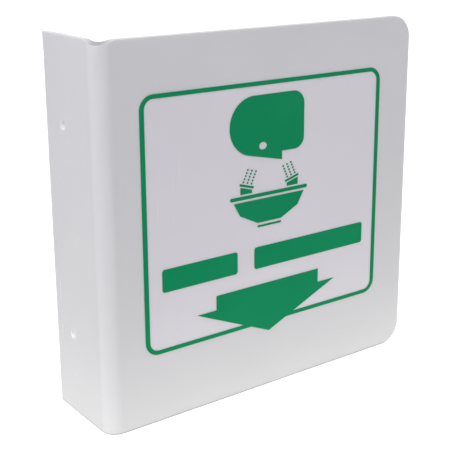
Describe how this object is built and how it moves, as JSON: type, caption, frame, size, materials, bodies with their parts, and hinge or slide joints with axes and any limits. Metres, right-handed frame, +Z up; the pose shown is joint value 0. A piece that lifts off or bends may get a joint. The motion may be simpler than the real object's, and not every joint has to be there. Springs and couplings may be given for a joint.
{
  "type": "projecting eyewash location sign",
  "caption": "Right-angled wall sign: a square panel stands out from the wall on a narrow screw flange and shows an eyewash symbol, two plain bars in place of words and a down arrow on both faces.",
  "frame": {"origin": "on the flange's wall face, midway between the two screw holes", "axes": "+X away from the wall along the panel, +Y from the panel's front face to its back face and along the flange, +Z up"},
  "size_m": [0.2064, 0.0541, 0.2032],
  "materials": {
    "white_acrylic": "glossy cast sheet with faint ripple, edges cut and smoothed",
    "green_ink": "opaque satin screen ink"
  },
  "bodies": {
    "root": {"back_basin_bowl": "green_ink", "back_basin_foot": "green_ink", "back_basin_rim": "green_ink", "back_border_line": "green_ink", "back_down_arrow": "green_ink", "back_head": "green_ink", "back_left_nozzle": "green_ink", "back_left_nozzle_cap": "green_ink", "back_left_spray": "green_ink", "back_long_bar": "green_ink", "back_right_nozzle": "green_ink", "back_right_nozzle_cap": "green_ink", "back_right_spray": "green_ink", "back_short_bar": "green_ink", "front_basin_bowl": "green_ink", "front_basin_foot": "green_ink", "front_basin_rim": "green_ink", "front_border_line": "green_ink", "front_down_arrow": "green_ink", "front_head": "green_ink", "front_left_nozzle": "green_ink", "front_left_nozzle_cap": "green_ink", "front_left_spray": "green_ink", "front_long_bar": "green_ink", "front_right_nozzle": "green_ink", "front_right_nozzle_cap": "green_ink", "front_right_spray": "green_ink", "front_short_bar": "green_ink", "sign_sheet": "white_acrylic"}
  },
  "joints": []
}
